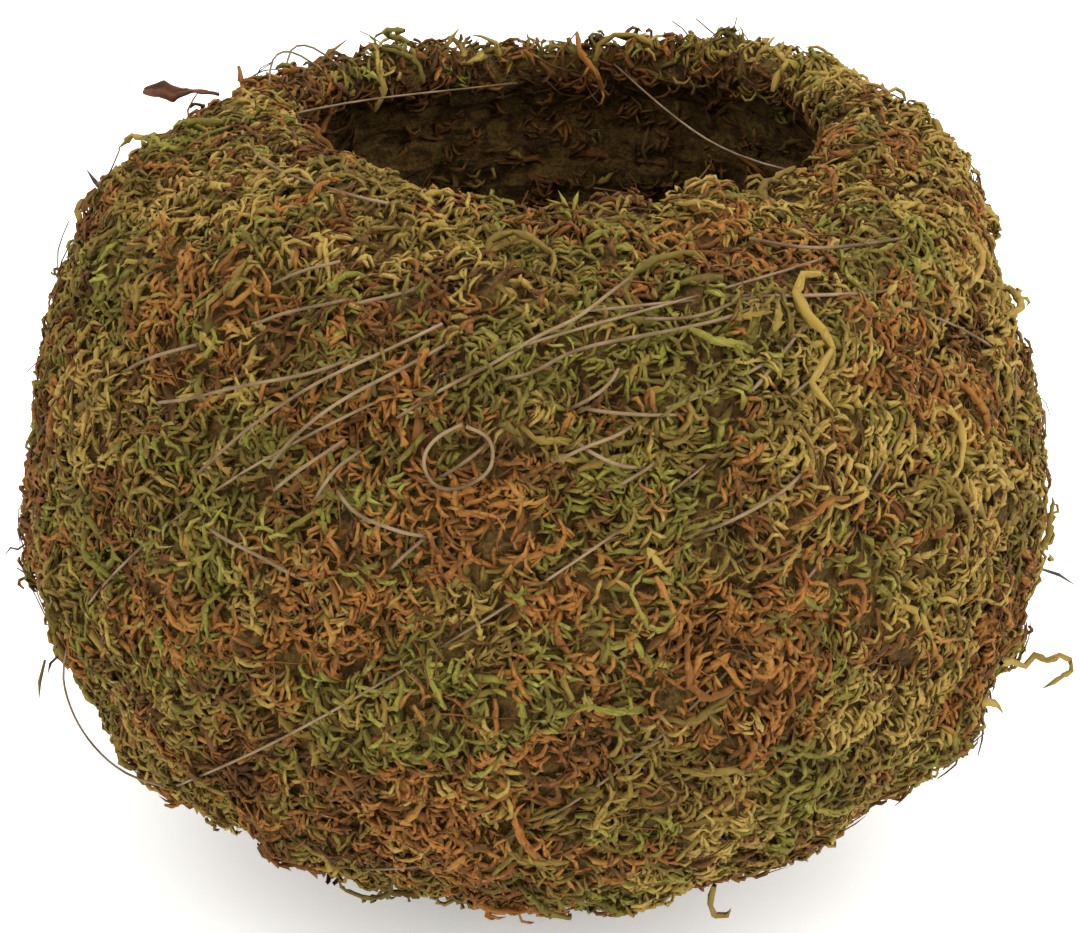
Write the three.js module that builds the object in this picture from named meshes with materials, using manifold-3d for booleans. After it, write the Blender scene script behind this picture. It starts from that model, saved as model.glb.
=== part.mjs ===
// A kokedama planter, empty: a hollow ball of dried moss, open at the top for a plant. Tufts of moss of other
// colours are pressed onto it, a thin thread is wound round it, and a bark flake and some stalks stick out.
// Millimetres, +Z up. The origin is the middle of the small flat spot it rests on. Its front is -Y.
import * as THREE from "three";
import { ImprovedNoise } from "three/addons/math/ImprovedNoise.js";
import { mergeVertices } from "three/addons/utils/BufferGeometryUtils.js";
import Module from "manifold-3d";

// The ball
const BELLY_RADIUS = 73.5; // widest, to the mean height of the moss
const BELLY_HEIGHT = 49;
const HEIGHT = 110; // to the crest of the lip
const MOUTH_RADIUS = 35; // inside the lip
const MOUTH_SHIFT = 4; // how far the mouth sits towards +X of the middle
const REST_RADIUS = 25; // the flat spot
const WALL = 10; // moss thickness
const AROUND = 56; // facets round the ball
const UP = 20; // facets from the flat spot up to the lip
const GAP = 0.35; // left between pieces that touch
const SLIVER = 0.03; // finer detail than this is closed up

// The moss surface
const LUMP_SIZE = 21; // from one lump to the next
const LUMP_DEPTH = 3.4;
const CREASE_SIZE = 13;
const CREASE_DEPTH = 1.7;
const RELIEF_FROM = 3; // the relief starts above this height and is full above the next
const RELIEF_FULL = 16;

// A moss strand, larger than life, curled over like a hook and leaning to one side
const STRAND_RADIUS = 2.3; // at its root
const STRAND_LENGTH = 23;
const STRAND_ROOT = 3.6; // how deep it starts in the moss
const STRAND_BEND = 2.9; // radians from its root to its tip
const STRAND_LEAN = 0.75; // radians from upright
const STRAND_SIDES = 3;
const LIP_STRAND_SIZE = 0.55; // the strands are smaller towards the lip
const WALL_STRANDS = 94;
const TRIES = 10; // at placing a strand clear of what lies beside it

// A tuft's core and the strands that stand out of it
const TUFT_THICKNESS = 3.2;
const TUFT_STRANDS = 5;
const TUFT_STRAND_SIZE = 0.6;
const TUFT_BEND = 1.8;
const HIDDEN_TUFTS = 6;
const GOLDEN_ANGLE = 137.5;

// The wound thread: tilted turns, each swung a little further round than the last
const THREAD_RADIUS = 0.45;
const THREAD_SIDES = 3;
const THREAD_TURNS = 5;
const THREAD_STEPS = 28; // in a turn
const THREAD_TILT = 46; // degrees between a turn and the level
const THREAD_START = 3; // azimuth of the first turn's highest point
const THREAD_SWING = 36; // degrees from one turn's highest point to the next
const THREAD_LIFT = 1.1; // from the highest moss it crosses to its middle
const THREAD_LOOKS = 12; // between two steps, for how high that is

// Azimuths are in degrees from the front towards +X.
const BARK = { azimuth: -112, height: 101, width: 9.5, length: 13, thickness: 0.9, sunk: 6 };
const STALKS = [
  { azimuth: -98, height: 97, length: 15, lean: 0.9 },
  { azimuth: -70, height: 58, length: 14, lean: -0.8 },
  { azimuth: 74, height: 52, length: 13, lean: 0.7 },
  { azimuth: 160, height: 82, length: 15, lean: -0.6 },
];
const STALK_RADIUS = 0.55;
const STALK_SIDES = 4;
const STALK_SUNK = 5;
// The one strand that hangs well clear of the ball
const STRAY = {
  azimuth: 72,
  height: 46,
  length: 27,
  radius: 1.7,
  bend: 2.7,
  sideways: 3,
  turn: 200,
  lean: 0.2,
};

// Tufts that show: colour, azimuth, height, length, width and the turn of the length from the level.
const SEEN_TUFTS = [
  ["rust", -21, 71, 24, 15, 10],
  ["rust", -7, 89, 15, 12, 0],
  ["rust", 7, 65, 22, 15, 60],
  ["rust", 24, 56, 18, 14, 40],
  ["rust", -9, 34, 28, 13, 0],
  ["rust", -47, 98, 20, 11, 80],
  ["green", -15, 54, 30, 16, 20],
  ["green", 12, 82, 22, 11, 5],
  ["green", -70, 94, 18, 12, 90],
  ["green", -41, 70, 20, 14, 100],
  ["green", 20, 100, 22, 12, 20],
  ["green", 58, 102, 16, 11, 60],
  ["straw", -59, 80, 18, 13, 60],
  ["straw", 46, 56, 26, 16, 80],
  ["straw", 39, 91, 20, 10, 80],
  ["straw", 60, 72, 18, 12, 80],
];

const COLOURS = {
  olive: 0x746634,
  green: 0x808c38,
  rust: 0x8c5c30,
  straw: 0xac9860,
  thread: 0x84745a,
  bark: 0x573a24,
};
const DEGREE = Math.PI / 180;

const wasm = await Module();
wasm.setup();
const noise = new ImprovedNoise();

// A repeatable draw from 0 to 1 (mulberry32).
function seeded(seed) {
  let state = seed;
  return () => {
    state = (state + 0x6d2b79f5) | 0;
    let t = Math.imul(state ^ (state >>> 15), 1 | state);
    t = (t + Math.imul(t ^ (t >>> 7), 61 | t)) ^ t;
    return ((t ^ (t >>> 14)) >>> 0) / 4294967296;
  };
}

// A closed geometry as a solid that can be joined and cut. Triangles with no area are left out.
function solid(geometry) {
  const bare = geometry.index ? geometry.toNonIndexed() : geometry.clone();
  bare.deleteAttribute("normal");
  bare.deleteAttribute("uv");
  const merged = mergeVertices(bare, 1e-3);
  const corners = merged.index.array;
  const kept = [];
  for (let i = 0; i < corners.length; i += 3) {
    const [a, b, c] = corners.slice(i, i + 3);
    if (a !== b && b !== c && a !== c) kept.push(a, b, c);
  }
  const vertProperties = merged.attributes.position.array;
  return new wasm.Manifold(new wasm.Mesh({ numProp: 3, vertProperties, triVerts: Uint32Array.from(kept) }));
}

// Joins many solids, in pairs.
function joined(shapes) {
  let row = shapes;
  while (row.length > 1) {
    const next = [];
    for (let i = 0; i < row.length; i += 2) next.push(i + 1 < row.length ? row[i].add(row[i + 1]) : row[i]);
    row = next;
  }
  return row[0];
}

// The largest body of a solid, without the scraps that a cut leaves and the hollows that joining seals.
function largest(shape) {
  return shape.decompose().reduce((best, body) => (body.volume() > best.volume() ? body : best));
}

// A named mesh of a solid, without the slivers that joining leaves.
function piece(name, shape, colour, roughness = 0.95) {
  const mesh = largest(shape.simplify(SLIVER)).getMesh();
  const geometry = new THREE.BufferGeometry();
  geometry.setAttribute("position", new THREE.BufferAttribute(new Float32Array(mesh.vertProperties), 3));
  geometry.setIndex(new THREE.BufferAttribute(new Uint32Array(mesh.triVerts), 1));
  geometry.computeVertexNormals();
  const material = new THREE.MeshStandardMaterial({ color: COLOURS[colour], roughness, metalness: 0 });
  const made = new THREE.Mesh(geometry, material);
  made.name = name;
  return made;
}

// The outside of the ball as (radius, height), from the edge of the flat spot up to the lip.
const outline = new THREE.SplineCurve([
  new THREE.Vector2(REST_RADIUS, 0),
  new THREE.Vector2(BELLY_RADIUS - 25, 10.5),
  new THREE.Vector2(BELLY_RADIUS - 7.5, 28),
  new THREE.Vector2(BELLY_RADIUS, BELLY_HEIGHT),
  new THREE.Vector2(BELLY_RADIUS - 2, 70),
  new THREE.Vector2(BELLY_RADIUS - 9.5, 88),
  new THREE.Vector2(MOUTH_RADIUS + 17, HEIGHT - 8),
  new THREE.Vector2(MOUTH_RADIUS + 8, HEIGHT - 1.5),
]);

// Steps up the outside. Each has its place and outward normal on the meridian, and how much relief it gets.
function outerSteps(count) {
  const steps = [];
  for (let i = 0; i <= count; i++) {
    const place = outline.getPointAt(i / count);
    const along = outline.getTangentAt(i / count);
    const normal = new THREE.Vector2(along.y, -along.x);
    steps.push({ place, normal, relief: THREE.MathUtils.smoothstep(place.y, RELIEF_FROM, RELIEF_FULL) });
  }
  return steps;
}

// Steps over the lip and a little way down inside it.
function lipSteps() {
  const { Vector2 } = THREE;
  return [
    { place: new Vector2(MOUTH_RADIUS + 3.5, HEIGHT), normal: new Vector2(-0.1, 1), relief: 0.7 },
    { place: new Vector2(MOUTH_RADIUS, HEIGHT - 4), normal: new Vector2(-1, 0.2), relief: 0.5 },
    { place: new Vector2(MOUTH_RADIUS + 1, HEIGHT - 11), normal: new Vector2(-1, -0.2), relief: 0.5 },
  ];
}

// The whole section of the wall, from the middle of the flat spot, round the lip, to the inner floor.
function wallSteps() {
  const down = new THREE.Vector2(0, -1);
  const up = new THREE.Vector2(0, 1);
  const inner = outerSteps(12)
    .reverse()
    .slice(2)
    .map(({ place, normal }) => ({
      place: place.clone().addScaledVector(normal, -WALL),
      normal: normal.clone().negate(),
      relief: 0.5,
    }))
    .filter(({ place }) => place.y > WALL + 2);
  return [
    { place: new THREE.Vector2(0, 0), normal: down, relief: 0 },
    { place: new THREE.Vector2(REST_RADIUS * 0.6, 0), normal: down, relief: 0 },
    ...outerSteps(UP),
    ...lipSteps(),
    ...inner,
    { place: new THREE.Vector2(REST_RADIUS, WALL), normal: up, relief: 0.3 },
    { place: new THREE.Vector2(0, WALL), normal: up, relief: 0 },
  ];
}

// How far the moss stands out over a point of the smooth ball: rounded lumps, with creases between.
function relief(p) {
  const lump = noise.noise(p.x / LUMP_SIZE + 4.3, p.y / LUMP_SIZE + 1.7, p.z / LUMP_SIZE + 8.1);
  const crease = noise.noise(p.x / CREASE_SIZE + 2.2, p.y / CREASE_SIZE + 9.4, p.z / CREASE_SIZE + 5.6);
  return LUMP_DEPTH * lump + CREASE_DEPTH * (1 - 2.6 * Math.abs(crease));
}

// The moss over a step of the meridian. The belly isn't quite round, and the mouth leans to +X.
function mossPoint(step, angle) {
  const { place } = step;
  const uneven = 1 + 0.008 * Math.cos(2 * angle + 1.1) + 0.007 * Math.cos(3 * angle + 2.4);
  const lean = MOUTH_SHIFT * THREE.MathUtils.smoothstep(place.y, HEIGHT - 34, HEIGHT - 4);
  const radius = place.y > 0 ? place.x * uneven : place.x;
  const point = new THREE.Vector3(radius * Math.cos(angle) + lean, radius * Math.sin(angle), place.y);
  const { x, y } = step.normal;
  const normal = new THREE.Vector3(x * Math.cos(angle), x * Math.sin(angle), y).normalize();
  point.addScaledVector(normal, step.relief * relief(point));
  return { point, normal };
}

// The hollow wall without its strands.
function wallSolid() {
  const steps = wallSteps();
  const lathe = new THREE.LatheGeometry(steps.map((step) => step.place), AROUND);
  const position = lathe.attributes.position;
  for (let i = 0; i <= AROUND; i++) {
    steps.forEach((step, j) => {
      const angle = step.place.x > 0 ? ((i % AROUND) / AROUND) * 2 * Math.PI : 0;
      const { point } = mossPoint(step, angle);
      position.setXYZ(i * steps.length + j, point.x, point.y, point.z);
    });
  }
  return solid(lathe);
}

// The place on the outside of the moss at an azimuth and a height.
const fineSteps = outerSteps(300);
function onMoss(azimuth, height) {
  const off = (step) => Math.abs(step.place.y - height);
  const step = fineSteps.reduce((best, other) => (off(other) < off(best) ? other : best));
  return mossPoint(step, (azimuth - 90) * DEGREE);
}

// The two directions along the moss at a place: turned from the level by an angle, and across that.
function alongMoss(normal, turn) {
  const level = new THREE.Vector3(0, 0, 1).cross(normal).normalize();
  const along = level.applyAxisAngle(normal, turn * DEGREE);
  return { along, across: new THREE.Vector3().crossVectors(normal, along) };
}

// What a strand is like, drawn at random.
function strandLike(draw, size, bend) {
  return {
    length: STRAND_LENGTH * size * (0.75 + 0.5 * draw()),
    radius: STRAND_RADIUS * (0.6 + 0.4 * size),
    bend: bend * (0.75 + 0.5 * draw()),
    sideways: 7 * size * (draw() - 0.5),
    turn: 360 * draw(),
    lean: STRAND_LEAN * (draw() < 0.5 ? -1 : 1) * (0.6 + 0.5 * draw()),
  };
}

// A strand as a three-sided cone bent round, standing on the moss. With grow it is fatter all over, for which
// its corners go out by twice that.
function strand({ point, normal }, { length, radius, bend, sideways, turn, lean }, grow = 0) {
  const foot = radius + 2 * grow;
  const geometry = new THREE.CylinderGeometry(2 * grow, foot, length + 2 * grow, STRAND_SIDES, 3);
  const position = geometry.attributes.position;
  const bow = length / bend;
  for (let i = 0; i < position.count; i++) {
    const t = position.getY(i) / length + 0.5;
    const x = bow * (1 - Math.cos(t * bend)) + position.getX(i) * Math.cos(t * bend);
    const y = bow * Math.sin(t * bend) - position.getX(i) * Math.sin(t * bend) - STRAND_ROOT;
    position.setXYZ(i, x, y, position.getZ(i) + sideways * t * t);
  }
  const { along } = alongMoss(normal, turn);
  const up = normal.clone().applyAxisAngle(along, lean);
  const side = new THREE.Vector3().crossVectors(along, up);
  geometry.applyMatrix4(new THREE.Matrix4().makeBasis(along, up, side).setPosition(point));
  return solid(geometry);
}

// A tuft's core: a lumpy, flattened ball half sunk in the moss. With grow it is the pocket that it sits in.
function tuftCore([, azimuth, height, length, width, turn], grow = 0) {
  const core = new THREE.IcosahedronGeometry(1, 1);
  const position = core.attributes.position;
  const { point, normal } = onMoss(azimuth, height);
  const { along, across } = alongMoss(normal, turn);
  for (let i = 0; i < position.count; i++) {
    const p = new THREE.Vector3().fromBufferAttribute(position, i);
    p.multiplyScalar(1 + 0.4 * noise.noise(1.4 * p.x + point.x, 1.4 * p.y + point.y, 1.4 * p.z + point.z));
    const placed = point.clone().addScaledVector(along, p.x * (length / 2 + grow));
    placed.addScaledVector(across, p.y * (width / 2 + grow));
    placed.addScaledVector(normal, p.z * (TUFT_THICKNESS + grow));
    position.setXYZ(i, placed.x, placed.y, placed.z);
  }
  return solid(core);
}

// The strands of a tuft, evenly spread over its core, without those that would run into something.
function tuftStrands([, azimuth, height, length, width, turn], seed, clearOf) {
  const draw = seeded(seed);
  const { point, normal } = onMoss(azimuth, height);
  const { along, across } = alongMoss(normal, turn);
  const strands = [];
  for (let i = 0; strands.length < TUFT_STRANDS && i < 8 * TUFT_STRANDS; i++) {
    const reach = Math.sqrt(((i % TUFT_STRANDS) + 0.5) / TUFT_STRANDS) * 0.42;
    const round = i * GOLDEN_ANGLE * DEGREE;
    const root = point.clone().addScaledVector(along, Math.cos(round) * reach * length);
    root.addScaledVector(across, Math.sin(round) * reach * width);
    root.addScaledVector(normal, TUFT_THICKNESS * (0.9 - 3 * reach * reach));
    const like = strandLike(draw, TUFT_STRAND_SIZE, TUFT_BEND);
    if (strand({ point: root, normal }, like, GAP).intersect(clearOf).isEmpty()) {
      strands.push([{ point: root, normal }, like]);
    }
  }
  return strands;
}

// Tufts for the sides and back, spread by the golden angle.
function hiddenTufts() {
  const colours = ["green", "rust", "straw"];
  const tufts = [];
  for (let i = 0; i < HIDDEN_TUFTS; i++) {
    const azimuth = 95 + ((i * GOLDEN_ANGLE) % 165);
    tufts.push([colours[i % 3], azimuth, 34 + ((i * 29) % 66), 23, 14, (i * 50) % 180]);
  }
  return tufts;
}

// The thread's way round the ball, as directions from the middle of the belly.
function threadDirections(count) {
  const directions = [];
  for (let i = 0; i < count; i++) {
    const turns = (i / count) * THREAD_TURNS;
    const high = (THREAD_START + THREAD_SWING * turns - 90) * DEGREE;
    const tilt = (THREAD_TILT + 5 * Math.sin(2.3 * turns)) * DEGREE;
    const level = turns * 2 * Math.PI;
    const forward = Math.cos(level);
    const direction = new THREE.Vector3(forward * Math.cos(tilt), Math.sin(level), forward * Math.sin(tilt));
    directions.push(direction.applyAxisAngle(new THREE.Vector3(0, 0, 1), high));
  }
  return directions;
}

// The thread's points, drawn taut over what it crosses: each clears the highest moss near it.
function threadPoints(crossed) {
  const middle = new THREE.Vector3(0, 0, BELLY_HEIGHT + 3);
  const directions = threadDirections(THREAD_TURNS * THREAD_STEPS * THREAD_LOOKS);
  const caster = new THREE.Raycaster();
  const far = 2 * BELLY_RADIUS;
  const reach = directions.map((direction, i) => {
    const way = new THREE.Vector3().subVectors(directions[Math.max(1, i)], directions[Math.max(1, i) - 1]);
    const aside = new THREE.Vector3().crossVectors(way, direction).setLength(THREAD_LIFT);
    const looks = [-1, -0.5, 0, 0.5, 1].map((side) => {
      const from = middle.clone().addScaledVector(direction, far).addScaledVector(aside, side);
      caster.set(from, direction.clone().negate());
      return far - caster.intersectObjects(crossed)[0].distance;
    });
    return Math.max(...looks);
  });
  const highest = [];
  for (let i = 0; i < directions.length; i += THREAD_LOOKS) {
    highest.push(Math.max(...reach.slice(Math.max(0, i - THREAD_LOOKS), i + THREAD_LOOKS + 1)));
  }
  return highest.map((high, i) => {
    const beside = (highest[Math.max(0, i - 1)] + highest[Math.min(highest.length - 1, i + 1)]) / 2;
    return middle.clone().addScaledVector(directions[i * THREAD_LOOKS], Math.max(high, beside) + THREAD_LIFT);
  });
}

// A tube with few sides along a row of points.
function tube(points, sides, radius) {
  const ring = [];
  for (let i = 0; i < sides; i++) {
    const angle = (i / sides) * 2 * Math.PI;
    ring.push(new THREE.Vector2(radius * Math.cos(angle), radius * Math.sin(angle)));
  }
  const extrudePath = new THREE.CatmullRomCurve3(points);
  return solid(new THREE.ExtrudeGeometry(new THREE.Shape(ring), { steps: points.length - 1, extrudePath }));
}

// The thread, made a turn at a time and joined where its turns meet and cross.
function threadSolid(points, radius) {
  const turns = [];
  for (let start = 0; start < points.length - 1; start += THREAD_STEPS) {
    turns.push(tube(points.slice(start, start + THREAD_STEPS + 2), THREAD_SIDES, radius));
  }
  return joined(turns);
}

// A thin stalk that grows out of the moss and bends over.
function stalk({ azimuth, height, length, lean }, grow = 0) {
  const { point, normal } = onMoss(azimuth, height);
  const { along } = alongMoss(normal, 60);
  const points = [];
  for (let i = 0; i <= 4; i++) {
    const out = (i / 4) * (length + STALK_SUNK) - STALK_SUNK - (i === 0 ? grow : 0);
    const bent = (lean * out * Math.abs(out)) / length;
    points.push(point.clone().addScaledVector(normal, out).addScaledVector(along, bent));
  }
  return tube(points, STALK_SIDES, STALK_RADIUS + grow);
}

// The bark flake: a thin torn chip that stands on edge in the moss.
function barkFlake(grow = 0) {
  const { point, normal } = onMoss(BARK.azimuth, BARK.height);
  const { along, across } = alongMoss(normal, 0);
  const halfWidth = BARK.width / 2 + grow;
  const bottom = -BARK.sunk - grow;
  const top = BARK.length - BARK.sunk;
  const chip = new THREE.Shape([
    new THREE.Vector2(-halfWidth * 0.8, bottom),
    new THREE.Vector2(halfWidth * 0.7, bottom),
    new THREE.Vector2(halfWidth, top * 0.5),
    new THREE.Vector2(halfWidth * 0.5, top),
    new THREE.Vector2(-halfWidth * 0.2, top * 0.8),
    new THREE.Vector2(-halfWidth, top * 0.9),
  ]);
  const depth = BARK.thickness + 2 * grow;
  const geometry = new THREE.ExtrudeGeometry(chip, { depth, bevelEnabled: false });
  geometry.translate(0, 0, -depth / 2);
  const side = new THREE.Vector3().crossVectors(along, normal);
  geometry.applyMatrix4(new THREE.Matrix4().makeBasis(along, normal, side).setPosition(point));
  return solid(geometry);
}

// The strands of the wall, spread evenly over the outside and the lip, each turned until it is clear of the
// pieces that lie on the wall.
function wallStrands(clearOf) {
  const draw = seeded(7);
  const steps = [...fineSteps.slice(20), lipSteps()[0]];
  const area = steps.reduce((sum, step) => sum + step.place.x, 0);
  const strands = [];
  for (let i = 0; i < WALL_STRANDS; i++) {
    let left = ((i + 0.5) / WALL_STRANDS) * area;
    const step = steps.find((other) => (left -= other.place.x) <= 0);
    const nearLip = THREE.MathUtils.smoothstep(step.place.y, HEIGHT - 22, HEIGHT - 4);
    const size = THREE.MathUtils.lerp(1, LIP_STRAND_SIZE, nearLip);
    for (let tries = 0; tries < TRIES; tries++) {
      const root = mossPoint(step, (i * GOLDEN_ANGLE + 10 * draw()) * DEGREE);
      const like = strandLike(draw, size, STRAND_BEND);
      const fat = strand(root, like, GAP);
      if (fat.boundingBox().min[2] > GAP && fat.intersect(clearOf).isEmpty()) {
        strands.push(strand(root, like));
        break;
      }
    }
  }
  return strands;
}

const group = new THREE.Group();

// The bark flake and the stalks, and the holes that they stand in.
group.add(piece("bark_flake", barkFlake(), "bark"));
STALKS.forEach((like, i) => group.add(piece(`dry_stalk_${i + 1}`, stalk(like), "bark")));
const holes = [barkFlake(GAP), ...STALKS.map((like) => stalk(like, GAP))];

// The wall with the pockets that the tufts sit in.
const bareWall = wallSolid();
const tuftRows = [...SEEN_TUFTS, ...hiddenTufts()];
const cores = tuftRows.map((row) => tuftCore(row));
const pockets = tuftRows.map((row) => tuftCore(row, GAP));
const pocketed = bareWall.subtract(joined(pockets));

// The thread over the wall and the tufts.
const crossed = [bareWall, ...cores].map((shape) => piece("crossed", shape, "olive"));
const threadRoute = threadPoints(crossed);
const threadClear = threadSolid(threadRoute, THREAD_RADIUS + 2 * GAP);
group.add(piece("binding_thread", threadSolid(threadRoute, THREAD_RADIUS), "thread", 0.6));

// The tufts.
const underTufts = pocketed.add(threadClear);
const rooted = tuftRows.map((row, i) => tuftStrands(row, 101 + i, underTufts));
const count = {};
cores.forEach((core, i) => {
  const colour = tuftRows[i][0];
  count[colour] = (count[colour] ?? 0) + 1;
  const shape = joined([core, ...rooted[i].map((made) => strand(...made))]);
  group.add(piece(`${colour}_tuft_${count[colour]}`, shape, colour));
});

// The wall's own strands, which keep clear of the rest.
const tuftsClear = [...pockets, ...rooted.flat().map((made) => strand(...made, GAP))];
const strands = wallStrands(joined([...tuftsClear, ...holes, threadClear]));
const stray = strand(onMoss(STRAY.azimuth, STRAY.height), STRAY);
const wall = joined([pocketed, stray, ...strands]).subtract(joined(holes));
group.add(piece("moss_wall", wall, "olive"));

export default group;
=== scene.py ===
# %% [markdown]
# # A kokedama moss ball planter
# A hollow ball of dried sheet moss, wound with thin thread, with a round mouth for a plant.
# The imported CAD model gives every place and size. This lesson dresses it: the wall becomes a matted
# brown felt, and thousands of small leafy moss strands are laid over it by a seeded rule.

import math

import bmesh
import bpy
import numpy as np
from mathutils import Euler, Matrix, Vector, noise
from mathutils.bvhtree import BVHTree


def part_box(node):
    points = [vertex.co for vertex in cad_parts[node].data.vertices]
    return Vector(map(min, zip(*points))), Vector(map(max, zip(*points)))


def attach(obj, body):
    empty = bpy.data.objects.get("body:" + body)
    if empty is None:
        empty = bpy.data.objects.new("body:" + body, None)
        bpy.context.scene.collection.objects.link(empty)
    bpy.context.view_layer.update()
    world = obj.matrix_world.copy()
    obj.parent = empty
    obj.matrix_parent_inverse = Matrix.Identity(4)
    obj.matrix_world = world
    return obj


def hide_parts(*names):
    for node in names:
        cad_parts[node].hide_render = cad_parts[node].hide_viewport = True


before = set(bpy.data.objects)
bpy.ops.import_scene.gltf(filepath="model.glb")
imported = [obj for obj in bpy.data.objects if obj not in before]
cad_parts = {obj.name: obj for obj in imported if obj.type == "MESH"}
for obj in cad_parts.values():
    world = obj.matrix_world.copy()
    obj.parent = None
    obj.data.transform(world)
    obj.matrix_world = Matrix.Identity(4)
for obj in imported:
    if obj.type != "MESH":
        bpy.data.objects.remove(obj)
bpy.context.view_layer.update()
MM = 0.001
scene = bpy.context.scene
rng = np.random.default_rng(41)

# %% [markdown]
# ## Camera
# The ball was taken from the front, a little above its rim, with a longish lens. The camera looks at a
# point just above the belly, and is moved a few millimetres along its own axes to frame it.

# %% Camera
LOOK_AT = Vector((0, 0, 55)) * MM
DISTANCE = 450 * MM
ELEVATION = math.radians(24.5)
SIDEWAYS = 0.59 * MM
UPWARDS = 3.01 * MM
SENSOR = 36
FOCAL_LENGTH = 102.15

lens = bpy.data.cameras.new("camera")
lens.sensor_width = SENSOR
lens.lens = FOCAL_LENGTH
lens.clip_start = 0.01
lens.clip_end = 20
camera = bpy.data.objects.new("camera", lens)
scene.collection.objects.link(camera)
backwards = Vector((0, -math.cos(ELEVATION), math.sin(ELEVATION)))
upwards = Vector((0, math.sin(ELEVATION), math.cos(ELEVATION)))
camera.location = LOOK_AT + backwards * DISTANCE + Vector((SIDEWAYS, 0, 0)) + upwards * UPWARDS
camera.rotation_euler = (math.pi / 2 - ELEVATION, 0, 0)
scene.camera = camera
print("camera at", [round(value, 4) for value in camera.location])

# %% [markdown]
# ## Floor and light
# The ball stands on a plain white ground, which glows a little so that its shadow stays faint, under a
# pale sky, with large soft lamps from the front left, the right and above. The colours are shown as they
# are, without a film look.

# %% Floor
FLOOR_SIZE = 6
FLOOR_COLOUR = (0.97, 0.97, 0.96, 1)
FLOOR_GLOW = 0.35

floor_mesh = bpy.data.meshes.new("floor")
bm = bmesh.new()
bmesh.ops.create_grid(bm, x_segments=1, y_segments=1, size=FLOOR_SIZE / 2)
bm.to_mesh(floor_mesh)
bm.free()


def new_object(name, mesh):
    """An object for a mesh, in the scene."""
    piece = bpy.data.objects.new(name, mesh)
    scene.collection.objects.link(piece)
    return piece


def set_inputs(node, values):
    """Sets the values of some of a node's inputs, by name or number."""
    for key, value in values.items():
        node.inputs[key].default_value = value


floor = new_object("floor", floor_mesh)
floor_paint = bpy.data.materials.new("floor_paper")
floor_paint.use_nodes = True
floor_shader = floor_paint.node_tree.nodes["Principled BSDF"]
set_inputs(floor_shader, {"Base Color": FLOOR_COLOUR, "Roughness": 0.9})
set_inputs(floor_shader, {"Emission Color": FLOOR_COLOUR, "Emission Strength": FLOOR_GLOW})
floor_mesh.materials.append(floor_paint)
print("floor", FLOOR_SIZE, "m wide")

# %% Sky and lamps
SKY_COLOUR = (1.0, 1.0, 0.98, 1)
SKY_STRENGTH = 1.04
LAMP_SIZE = 0.9

world = bpy.data.worlds.new("pale_sky")
scene.world = world
world.use_nodes = True
set_inputs(world.node_tree.nodes["Background"], {"Color": SKY_COLOUR, "Strength": SKY_STRENGTH})


def soft_lamp(name, place, power):
    """A square area lamp that faces the ball."""
    light = bpy.data.lights.new(name, "AREA")
    light.size = LAMP_SIZE
    light.energy = power
    lamp = bpy.data.objects.new(name, light)
    scene.collection.objects.link(lamp)
    lamp.location = place
    lamp.rotation_euler = (LOOK_AT - Vector(place)).to_track_quat("-Z", "Y").to_euler()


soft_lamp("key_lamp", (-0.4, -0.75, 1.05), 5.5)
soft_lamp("side_lamp", (0.85, -0.45, 0.8), 6.5)
soft_lamp("top_lamp", (0.25, 0.2, 1.2), 6.0)
scene.view_settings.view_transform = "Standard"
print("three lamps")

# %% [markdown]
# ## The matted felt
# Under the strands the real ball is a felt of crushed brown moss. Its section is drawn from the rest
# spot over the belly and the lip and down into the hollow, then spun round and smoothed by a subdivision
# surface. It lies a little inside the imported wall, because the strands that stand on it reach
# the wall's own size. Soft lumps are pushed out along the normals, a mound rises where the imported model
# has a tuft, and dents are pressed in at the dark gaps. The mouth is moved off the axis to the right and
# to the back, and the back of its rim is lowered.

# %% The section, spun
# distance from the axis and height, in mm
OUTER = [
    (0, 1.7), (12, 1.7), (23, 2.0), (31.8, 7.2), (45.0, 14.6), (58.1, 21.8), (66.2, 31.4), (69.9, 41.4),
    (71.7, 50), (71.6, 60), (70.2, 71), (67.8, 81.5), (63.2, 92.5), (57.4, 101.0), (51.4, 106.2),
]
LIP = [(45.0, 108.0), (40.8, 108.5), (38.4, 107.0), (39.0, 104.2)]
HOLLOW = [
    (43.6, 100.4), (49.0, 95.8), (55.0, 88), (59.8, 77.5), (62.8, 64), (63.6, 50), (61.3, 36.5),
    (55, 24.5), (44.5, 15.4), (29, 10.4), (0, 9.6),
]
SPIN_STEPS = 64


def smoothstep(low, high, value):
    """0 below the low value, 1 above the high one, and a soft step between them."""
    share = min(1, max(0, (value - low) / (high - low)))
    return share * share * (3 - 2 * share)


def applied(piece):
    """Gives the piece the mesh that its modifiers make, and takes the modifiers off."""
    shown = piece.evaluated_get(bpy.context.evaluated_depsgraph_get())
    mesh = bpy.data.meshes.new_from_object(shown)
    piece.modifiers.clear()
    piece.data = mesh
    return piece


bm = bmesh.new()
inner = bm.verts.layers.float.new("hollow")
row = []
for k, (reach, height) in enumerate(OUTER + LIP + HOLLOW):
    vert = bm.verts.new((reach * MM, 0, height * MM))
    vert[inner] = smoothstep(len(OUTER), len(OUTER + LIP), k)
    if row:
        bm.edges.new((row[-1], vert))
    row.append(vert)
bmesh.ops.spin(
    bm, geom=bm.verts[:] + bm.edges[:], cent=(0, 0, 0), axis=(0, 0, 1),
    angle=2 * math.pi, steps=SPIN_STEPS, use_merge=True,
)
bmesh.ops.remove_doubles(bm, verts=bm.verts, dist=1e-6)
bmesh.ops.recalc_face_normals(bm, faces=bm.faces)
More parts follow.
